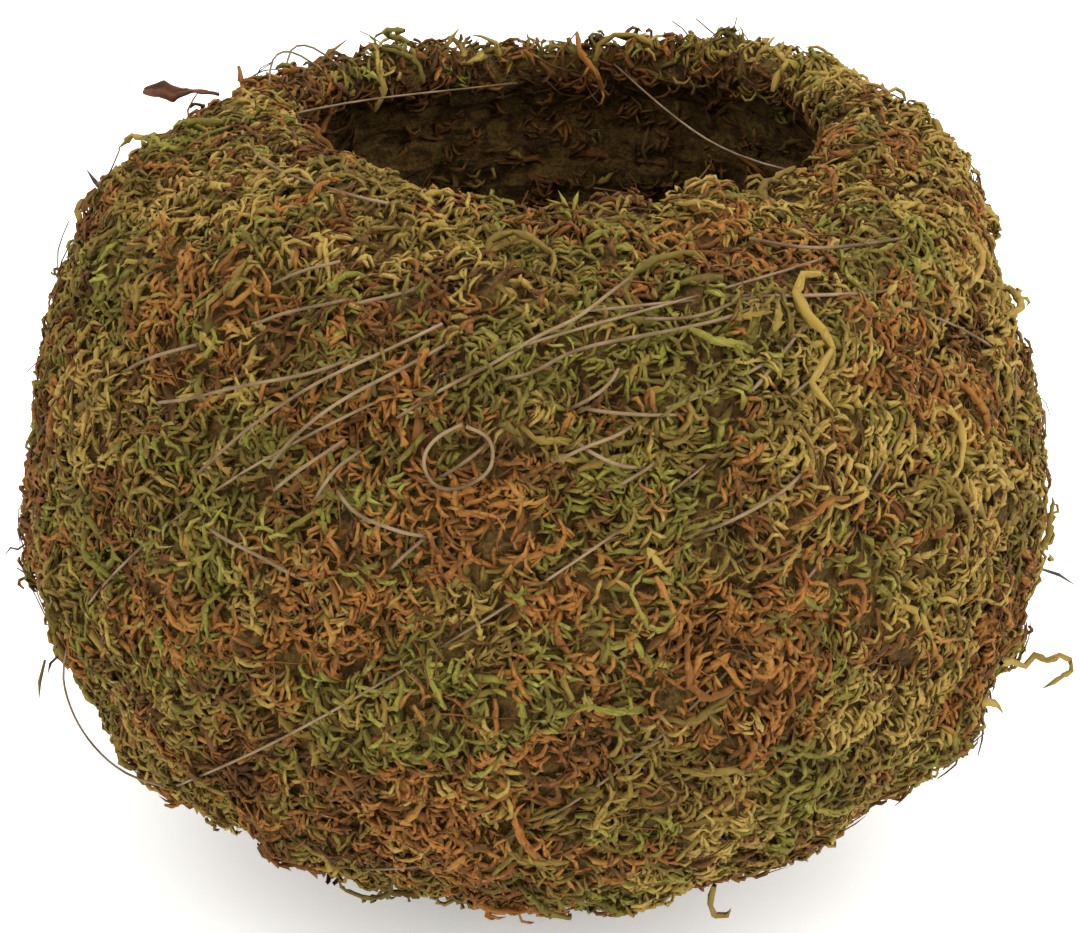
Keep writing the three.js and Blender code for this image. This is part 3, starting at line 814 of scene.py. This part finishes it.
def toned(colour, tone, start, end, amount):
    """Mixes a tone into a colour, from none at the start to the amount at the end of v."""
    share = nodes.new("ShaderNodeMapRange")
    set_inputs(share, {"From Min": start, "From Max": end, "To Max": amount})
    links.new(parts.outputs["Y"], share.inputs["Value"])
    mixer = nodes.new("ShaderNodeMix")
    mixer.data_type = "RGBA"
    links.new(share.outputs["Result"], mixer.inputs["Factor"])
    links.new(colour, mixer.inputs["A"])
    set_inputs(mixer, {"B": (*srgb(tone), 1)})
    return mixer.outputs["Result"]


# Painted shade towards the root and a painted highlight towards the tips, over the strands' own colour.
rooted = toned(ramp.outputs["Color"], ROOT_COLOUR_AND_SHADE, 0.5, 0.05, 0.75)
tipped = toned(rooted, TIP_COLOUR_AND_HIGHLIGHT, 0.6, 1.0, 0.34)
links.new(tipped, group.inputs["Colour"])
links.new(stretch.outputs["Vector"], group.inputs["Place"])
set_inputs(group, {"Scale": 26, "Depth": 0.7})
print("dried moss, with", len(TINTS), "tints")

# %% Brown felt, thread and bark
def spotted(name, stops, patch, grain, depth, roughness, bump):
    """A finish whose colour wanders between the stops in patches of the object's own space."""
    material, nodes, links, group = finish(name, roughness, bump)
    place = nodes.new("ShaderNodeTexCoord")
    wander = nodes.new("ShaderNodeTexNoise")
    set_inputs(wander, {"Scale": patch, "Detail": 4})
    links.new(place.outputs["Object"], wander.inputs["Vector"])
    ramp = nodes.new("ShaderNodeValToRGB")
    fill_ramp(ramp, stops)
    links.new(wander.outputs["Fac"], ramp.inputs["Fac"])
    links.new(ramp.outputs["Color"], group.inputs["Colour"])
    links.new(place.outputs["Object"], group.inputs["Place"])
    set_inputs(group, {"Scale": grain, "Depth": depth})
    return material


# The felt is dark brown: partly its own colour, partly painted shade where it shows between the strands.
FELT_AND_SHADE_STOPS = [(0.35, (54, 36, 13)), (0.48, (86, 62, 26)), (0.6, (94, 75, 34)), (0.72, (60, 41, 15))]
THREAD_STOPS = [(0.35, (92, 70, 44)), (0.65, (136, 114, 84))]
BARK_STOPS = [(0.35, (66, 40, 28)), (0.55, (98, 62, 42)), (0.7, (120, 84, 58))]
TWIG_STOPS = [(0.35, (44, 38, 32)), (0.65, (84, 70, 52))]
felt_finish = spotted("brown_felt", FELT_AND_SHADE_STOPS, 420, 1500, 2.6, 0.95, 1.2 * MM)
thread_finish = spotted("waxed_thread", THREAD_STOPS, 180, 2500, 0.5, 0.6, 0.05 * MM)
bark_finish = spotted("bark", BARK_STOPS, 220, 1500, 0.8, 0.8, 0.2 * MM)
twig_finish = spotted("dark_twig", TWIG_STOPS, 200, 1600, 0.6, 0.8, 0.1 * MM)
felt.data.materials.append(felt_finish)
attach(felt, "root")
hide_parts("moss_wall")
print("felt dressed")

# %% [markdown]
# ## Laying the strands in pieces
# The strands are laid in pieces by tint and by their side of the ball. Under the ball they are pressed
# flat, because it rests on them.

# %% Lay the strands
PRESSED = 2.0 * MM


def press_down(mesh):
    """Squeezes whatever is under a low height into the space above the floor."""
    places = np.zeros(len(mesh.vertices) * 3, np.float32)
    mesh.vertices.foreach_get("co", places)
    places = places.reshape(-1, 3)
    low = places[:, 2] < PRESSED
    places[low, 2] = PRESSED * np.exp((places[low, 2] - PRESSED) / PRESSED)
    mesh.vertices.foreach_set("co", places.ravel())


def lay(name, chosen):
    """One piece of the chosen strands."""
    mesh = bpy.data.meshes.new(name)
    mesh.from_pydata((points[chosen] + normals[chosen] * lifts[chosen, None]).tolist(), [], [])
    shift = np.column_stack([tints[chosen], lights[chosen], np.zeros(len(chosen))])
    values = {
        "turn": ("FLOAT_VECTOR", "vector", turns[chosen]),
        "tint": ("FLOAT_VECTOR", "vector", shift),
        "size": ("FLOAT", "value", sizes[chosen]),
        "kind": ("INT", "value", kinds[chosen]),
    }
    for attribute, (kind, key, numbers) in values.items():
        mesh.attributes.new(attribute, kind, "POINT").data.foreach_set(key, np.ravel(numbers))
    piece = new_object(name, mesh)
    piece.modifiers.new("lay", "NODES").node_group = laying
    applied(piece)
    for attribute in values:
        if attribute in piece.data.attributes:
            piece.data.attributes.remove(piece.data.attributes[attribute])
    press_down(piece.data)
    piece.data.materials.clear()
    piece.data.materials.append(moss)
    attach(piece, "root")
    print(name, len(chosen), "strands,", len(piece.data.polygons), "faces")
    return piece


azimuths = np.degrees(np.arctan2(points[:, 0], -points[:, 1]))
SECTORS = {BROWN: 2, RUST: 2, STRAW: 2, GREEN: 2, OLIVE: 4}
for tint, count in SECTORS.items():
    sector = ((azimuths + 180) / 360 * count).astype(int).clip(0, count - 1)
    for k in range(count):
        chosen = np.flatnonzero((names == tint) & (sector == k) & ~inside)
        lay(f"{tint}_moss_{k + 1}", chosen)
for k in range(2):
    chosen = np.flatnonzero(inside & ((azimuths > 0) == bool(k)))
    lay(f"lining_moss_{k + 1}", chosen)
for tint in (RUST, STRAW, GREEN):
    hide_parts(*[name for name in TUFTS if name.startswith(tint)])

# %% [markdown]
# ## Single pieces
# The thread, the stray moss, the bark and the twigs are single pieces. Each ends in the same way: its
# faces are turned outward and shaded smooth, and it gets its material.

# %% From a bmesh to a piece
def smooth_piece(name, bm, material):
    """A smooth piece from a bmesh, with its material, on the ball's body."""
    bmesh.ops.recalc_face_normals(bm, faces=bm.faces)
    for f in bm.faces:
        f.smooth = True
    mesh = bpy.data.meshes.new(name)
    bm.to_mesh(mesh)
    bm.free()
    mesh.materials.append(material)
    piece = new_object(name, mesh)
    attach(piece, "root")
    print(name, len(mesh.polygons), "faces")
    return piece


print("ready for single pieces")

# %% [markdown]
# ## The binding thread
# A thin thread is wound slantwise round the ball, over and just under the tips of the moss. It follows
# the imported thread's route: each turn is tilted, and its high side moves round from turn to turn.
# The turns that show best on the front of the real ball are added where they lie.

# %% The route of the winding
TURNS, STEPS = 5, 60
START, SWING, TILT = 3, 36, 46
THREAD_RADIUS = 0.2 * MM
CLEAR_OF_FELT = 1.1 * MM
HEART = Vector((0, 0, 52)) * MM


def over_moss(azimuth, height, inset):
    """The point at some degrees round and some mm up, some mm inside the tips, and clear of the felt."""
    tip = around(azimuth, float(np.interp(height, *zip(*TIPS))) - inset, height)
    tip.x += MOUTH_SHIFT * smoothstep(88, 108, height)
    place, normal, _, _ = felt_tree.find_nearest(tip)
    clear = (tip - place).dot(normal)
    return tip + normal * max(0, CLEAR_OF_FELT - clear)


def eased(points, rounds=3):
    """The points, each drawn towards its neighbours, because a tight thread has no small bends."""
    for _ in range(rounds):
        inner_points = [(a + 2 * b + c) / 4 for a, b, c in zip(points, points[1:], points[2:])]
        points = [points[0], *inner_points, points[-1]]
    return points


def wound_points():
    """Points of the winding, on the moss: over its tips here and between them there."""
    found = []
    for i in range(TURNS * STEPS + 1):
        turn = i / STEPS
        level = 2 * math.pi * turn
        tilt = math.radians(TILT + 5 * math.sin(2.3 * turn))
        high = math.radians(START + SWING * turn - 90)
        forward = math.cos(level)
        way = Vector((forward * math.cos(tilt), math.sin(level), forward * math.sin(tilt)))
        way.rotate(Euler((0, 0, high)))
        place, _, _, _ = felt_tree.ray_cast(HEART + way * 0.2, -way)
        azimuth = math.degrees(math.atan2(place.x, -place.y))
        inset = 1.3 + 1.6 * noise.noise(place / (11 * MM))
        found.append(over_moss(azimuth, place.z / MM, inset))
    return eased(found)


def thread(name, runs, radius):
    """A piece of thin tubes along rows of points."""
    curve = bpy.data.curves.new(name, "CURVE")
    curve.dimensions = "3D"
    curve.bevel_depth = radius
    curve.bevel_resolution = 1
    curve.use_fill_caps = True
    curve.resolution_u = 2
    for run in runs:
        spline = curve.splines.new("NURBS")
        spline.points.add(len(run) - 1)
        for knot, point in zip(spline.points, run):
            knot.co = (*point, 1)
        spline.use_endpoint_u = True
        spline.order_u = 4
    piece = new_object(name, curve)
    shown = piece.evaluated_get(bpy.context.evaluated_depsgraph_get())
    mesh = bpy.data.meshes.new_from_object(shown)
    bpy.data.objects.remove(piece)
    bm = bmesh.new()
    bm.from_mesh(mesh)
    bpy.data.meshes.remove(mesh)
    bmesh.ops.remove_doubles(bm, verts=bm.verts, dist=1e-7)
    return smooth_piece(name, bm, thread_finish)


winding = thread("binding_thread_turns", [wound_points()], THREAD_RADIUS)
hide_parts("binding_thread")

# %% The runs that show on the front
FRONT_THREAD_RADIUS = 0.24 * MM
# azimuth and height in mm of points along each run
RUNS = [
    [(-39, 81.5), (-32.5, 89.5), (-27, 95.5), (-23, 98.5), (-15, 103)],
    [(-29.5, 85), (-26.5, 90), (-23, 94.5), (-18.5, 98), (-13, 101.5)],
    [(-28.5, 82.5), (-25, 86.5), (-21, 90)],
    [(-23.5, 82.5), (-21, 87.5), (-19, 89)],
    [(-16, 93), (-11.5, 97.5), (-7, 100), (-3, 103), (1.5, 104.5), (5, 106.5), (8.5, 107.5)],
    [(-54.5, 89.5), (-49.5, 93.5), (-45.5, 95.5)],
    [(-47, 88), (-40.5, 91), (-36, 93.5), (-28, 96.5), (-24, 98.5)],
    [(-39, 99.5), (-35.5, 102), (-28.5, 104)],
    [(-40.5, 103.5), (-37, 106), (-33, 107)],
    [(-37, 76), (-34, 75.5), (-29, 74.5), (-25, 73), (-20.5, 72)],
    [(-21, 84), (-18, 82), (-14, 81), (-11, 80)],
    [(-11, 80), (-13, 78), (-15, 75)],
    [(-10, 87), (-7.5, 89.5), (-5.5, 91)],
    [(-27, 104), (-25, 105), (-20, 106)],
    [(-6, 98), (-2.5, 99), (1, 101.5), (6.5, 102.5), (12, 103), (18, 103.5), (24, 104), (28, 103.5)],
    [(10, 104), (16, 104), (21, 105), (27, 105), (35, 104), (43.5, 102.5), (51, 101.5)],
    [(3, 95), (6, 97.5), (7.5, 99)],
    [(4, 95), (10.5, 94.5), (17.5, 93.5)],
    [(2, 89), (4.5, 91), (8, 92), (10.5, 93)],
    [(14, 94.5), (18, 96), (23, 97.5), (27, 98.5)],
    [(7.5, 85.5), (10, 87.5), (13, 88.5)],
    [(15.5, 79.5), (21, 81.5), (26.5, 83.5), (32.5, 87)],
    [(23.5, 94.5), (24.5, 96.5), (28.5, 100), (32.5, 102)],
    [(28.5, 109.5), (37, 108), (47, 107), (57, 105.5)],
    [(4.5, 91), (8.5, 89), (11.5, 88)],
    [(-100, 110.2), (-82, 110.8), (-64, 111), (-46, 111.2), (-34, 111.2)],
]
# the same of a loose ring of thread round a small dark gap
RING = [
    (-8.5, 93.5), (-11, 92), (-12, 89.5), (-11, 87), (-9.5, 86), (-7, 86.5), (-4.5, 88.5), (-4.5, 91),
    (-5.5, 92.5), (-8, 93.3),
]


def laid_run(pairs, inset, ends):
    """Points along a run of places on the ball, dipping under the moss at the ends."""
    found = []
    parts_each = 3
    last = (len(pairs) - 1) * parts_each
    for i in range(last + 1):
        k = i / parts_each
        azimuth, height = (float(np.interp(k, range(len(pairs)), column)) for column in zip(*pairs))
        share = i / last
        dip = ends * max(0, 1 - 6 * min(share, 1 - share))
        found.append(over_moss(azimuth, height, inset + dip))
    return eased(found, 2)


runs = [laid_run(pairs, rng.uniform(-0.2, 0.7), 1.5) for pairs in RUNS] + [laid_run(RING, 0.2, 0)]
thread("thread_front_runs", runs, FRONT_THREAD_RADIUS)

# %% [markdown]
# ## Threads that leave the moss
# One thread hangs off the lower left in a loose loop, two cross the inside of the mouth, and two hairs
# of thread stand off the left of the rim.

# %% Loose threads: points in mm
LOOSE_THREAD_RADIUS = 0.16 * MM
LOOSE = [
    [
        (-64.5, -32.5, 47.0), (-66.6, -31.6, 42.0), (-65.9, -31.4, 39.0), (-65.6, -30.6, 35.6),
        (-65.2, -29.4, 32.8), (-63.6, -30.8, 30.4), (-61.4, -32.6, 28.6), (-58.4, -35.0, 27.2),
        (-55.4, -37.8, 27.2), (-51.5, -42.0, 29.0),
    ],
    [
        (-37, 8, 109), (-31, 13, 109.2), (-24, 22, 107.5), (-16, 32, 105.2), (-9, 40, 103.4),
        (-3, 47, 102),
    ],
    [
        (12, 47, 105), (17, 38, 102.6), (22, 27, 101.6), (26, 14, 102.4), (30.4, 0, 104.8),
        (36, -15, 108.6),
    ],
    [
        (-38.6, 18, 110.6), (-39.6, 24.5, 112.6), (-38.2, 27.5, 113.8), (-35.5, 28, 113.6),
        (-32.5, 27, 111),
    ],
    [
        (-36.2, 20, 110.6), (-37.6, 26, 114.2), (-35.4, 28.5, 115.2), (-31.5, 28, 113.6),
        (-28.5, 26.5, 110.5),
    ],
]
loose = [eased([Vector(point) * MM for point in run], 1) for run in LOOSE]
thread("thread_loose_ends", loose, LOOSE_THREAD_RADIUS)

# %% [markdown]
# ## Stray moss
# A few strands stand clear of the ball and give it its outline: the long curl low on the right, a
# curl and a pale sprig at the left shoulder, sprigs over the back of the rim, small leaves on the front
# of the lip, and a pale curl down the right front. They are grown one by one at their own places, with
# their tint and brightness in the map.

# %% Stray strands: points in mm, radius, leaf, tint, brightness
STRAYS = {
    "right_curl": ([
        (64, -36, 45), (66.4, -30.4, 42.3), (69.0, -26.5, 39.4), (70.4, -25.6, 40.7),
        (72.0, -26.6, 40.4), (73.6, -27.2, 41.6), (75.0, -27.8, 41.2), (75.3, -28.1, 39.6),
        (74.2, -27.6, 38.4), (73.0, -28.0, 37.7), (71.2, -28.3, 36.7),
    ], 0.62, 0.5, 0.50, 0.06),
    "right_tuft": ([
        (60.5, -32, 36.5), (63.4, -29.5, 35.4), (65.2, -28.4, 34.2), (66.2, -28.5, 32.8),
    ], 0.6, 0.7, 0.5, 0.06),
    "left_curl": ([
        (-60, -4, 96), (-62.8, 1, 95.6), (-65.2, 5.5, 94.2), (-66.0, 7.6, 95.2), (-65.2, 8.4, 96.6),
        (-63.6, 8.2, 97.0),
    ], 0.45, 0.4, 0.6, 0.04),
    "pale_sprig": ([
        (-51, 6, 105.5), (-54.4, 12, 104.3), (-56.6, 14.6, 103.9), (-58.4, 15.2, 104.1),
        (-59.4, 14.6, 103.2), (-60.6, 13.4, 102.4),
    ], 0.46, 0.8, 0.5, 0.12),
    "rim_sprig_1": ([
        (-33, 35, 106.4), (-32.0, 35.4, 109.2), (-30.2, 35.6, 110.8), (-27.6, 35.8, 112.8),
    ], 0.3, 0.6, 0.66, 0.0),
    "rim_sprig_2": ([
        (-14.5, 46, 105.4), (-13.6, 46.4, 108.2), (-12.6, 46.4, 109.8), (-11.4, 46.4, 111.4),
    ], 0.36, 0.6, 0.56, 0.12),
    "rim_sprig_3": ([
        (-5.2, 46, 106), (-6.2, 46.4, 108.6), (-8.4, 46.4, 109.6), (-10.6, 46.2, 110.0),
    ], 0.36, 0.6, 0.54, 0.12),
    "rim_curl": ([
        (9, 46, 105.8), (9.6, 46.4, 108.4), (12, 46.6, 109.8), (15, 46.4, 109.8), (17.5, 46, 108.6),
        (18.5, 45.5, 106.6),
    ], 0.5, 0.6, 0.6, 0.02),
    "rim_fluff": ([
        (35, 28, 106.6), (36.2, 29, 109.4), (37.4, 29.5, 110.8), (38.8, 29, 110.0), (39.8, 28, 107.8),
    ], 0.5, 0.7, 0.5, 0.08),
    "lip_leaf_1": ([(4.0, -34.5, 109.4), (3.0, -33.8, 111.0), (1.2, -33.4, 111.6)], 0.36, 0.6, 0.90, 0.06),
    "lip_leaf_2": ([(4.4, -34.2, 109.4), (3.6, -33.4, 111.4), (2.9, -32.8, 112.6)], 0.36, 0.6, 0.93, 0.1),
    "lip_leaf_3": ([(4.8, -34.2, 109.4), (5.2, -33.2, 111.4), (5.6, -32.6, 112.4)], 0.36, 0.6, 0.90, 0.1),
    "lip_leaf_4": ([(5.2, -34.5, 109.4), (6.6, -33.8, 110.8), (8.0, -33.6, 111.2)], 0.36, 0.6, 0.86, 0.06),
    "lip_leaf_5": ([(4.8, -36.0, 109.4), (4.2, -36.8, 110.8), (3.0, -37.2, 111.6)], 0.36, 0.6, 0.88, 0.06),
    "tall_curl": ([
        (36.0, -46.5, 106.2), (33.6, -47.8, 106.6), (32.6, -50.2, 105.0), (33.8, -52.0, 103.0),
        (35.9, -53.0, 101.2), (37.1, -54.2, 99.2), (35.6, -56.2, 97.6), (34.3, -57.8, 96.2),
        (35.8, -58.6, 94.2), (37.6, -58.4, 92.2),
    ], 0.62, 0.5, 0.52, 0.10),
    "bottom_curl": ([
        (24.0, -57, 22.5), (23.6, -55.6, 18.4), (24.4, -53.4, 15.4), (26.2, -53.0, 15.2),
        (26.6, -54.4, 17.2),
    ], 0.5, 0.5, 0.6, 0.05),
    "left_tuft": ([(-70, -22, 38), (-71, -22, 34.5), (-71.2, -22.6, 31.6)], 0.3, 0.4, 0.7, -0.05),
}
strays = strand_bmesh()
for name, (corners, radius, leaf, tint, light) in STRAYS.items():
    grown = strand_bmesh()
    path = [Vector(corner) * MM for corner in corners]
    sides = grow(grown, path, swelling(len(path), radius * MM), 4, 0, 0.2, 0.7)
    leaf_out(grown, sides, path, leaf * MM, 0.7)
    mesh = strand_mesh(name, grown)
    for loop in mesh.uv_layers["OFBake"].uv:
        loop.vector = (loop.vector[0] + tint, loop.vector[1] + light)
    strays.from_mesh(mesh)
smooth_piece("stray_moss", strays, moss)

# %% [markdown]
# ## Bark and dry twigs
# A curled flake of bark is caught in the moss at the upper left, and thin dry twigs stick out of it.
# The flake is a narrow grid, rolled across its width, bent and given its thickness by solidify. The
# twigs are grown like the strands, without leaves.

# %% The bark flake
# points along its middle, and its width at each, in mm
FLAKE = [
    (-46.6, 24.6, 107.4), (-50.6, 24.8, 108.1), (-53.2, 25.2, 108.0), (-55.2, 25.6, 108.9),
    (-57.8, 25.2, 108.0),
]
FLAKE_WIDTH = [0.5, 0.8, 2.6, 3.4, 1.0]
FLAKE_THICKNESS = 0.35 * MM
bm = bmesh.new()
bmesh.ops.create_grid(bm, x_segments=18, y_segments=6, size=1)
for vert in bm.verts:
    share = (vert.co.x + 1) / 2 * (len(FLAKE) - 1)
    centre = Vector([float(np.interp(share, range(len(FLAKE)), column)) for column in zip(*FLAKE)])
    width = float(np.interp(share, range(len(FLAKE)), FLAKE_WIDTH))
    across = vert.co.y + 0.12 * noise.noise(Vector((vert.co.x * 5, 3.1, 0)))
    rolled = 2.0 * across
    centre += Vector((0, math.sin(rolled) * 0.75, -0.3 - math.cos(rolled) * 0.42)) * width
    centre += Vector((0, 0, 0.35)) * noise.noise(Vector((vert.co.x * 4, vert.co.y * 3, 7.7)))
    vert.co = centre * MM
bmesh.ops.recalc_face_normals(bm, faces=bm.faces)
bmesh.ops.solidify(bm, geom=bm.faces, thickness=FLAKE_THICKNESS)
flake = smooth_piece("bark_flake_curled", bm, bark_finish)
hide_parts("bark_flake")

# %% Dry twigs: points and radius in mm
TWIGS = [
    ([(-57, 8.5, 95), (-61.8, 9, 97.2), (-63.4, 9.6, 99.0), (-64.8, 10.6, 100.7)], 0.34),
    ([
        (-67, 3, 43), (-75.3, 9, 40.6), (-76.6, 11, 40.0), (-76.5, 12, 41.5), (-77.7, 14, 42.4),
        (-79.0, 15, 40.6), (-78.5, 16, 38.0), (-80.1, 17.4, 36.3), (-81.4, 18.4, 36.1),
        (-83.1, 20, 33.5),
    ], 0.28),
    ([(67, 5, 41), (76.4, 10, 36.8), (80.3, 13, 34.1), (84.2, 17, 30.0)], 0.28),
    ([(19, 61, 84), (21.4, 66, 83.4), (23.4, 69.2, 84.2), (24.6, 72.4, 83.4)], 0.3),
    ([(-66.5, -27, 42), (-68.6, -25.6, 39.4), (-69.2, -25.6, 37.4)], 0.26),
]
bm = strand_bmesh()
for corners, radius in TWIGS:
    path = [Vector(corner) * MM for corner in corners]
    grow(bm, path, swelling(len(path), radius * MM), 6)
twigs = smooth_piece("dry_twigs", bm, twig_finish)
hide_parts(*[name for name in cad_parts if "dry_stalk" in name])
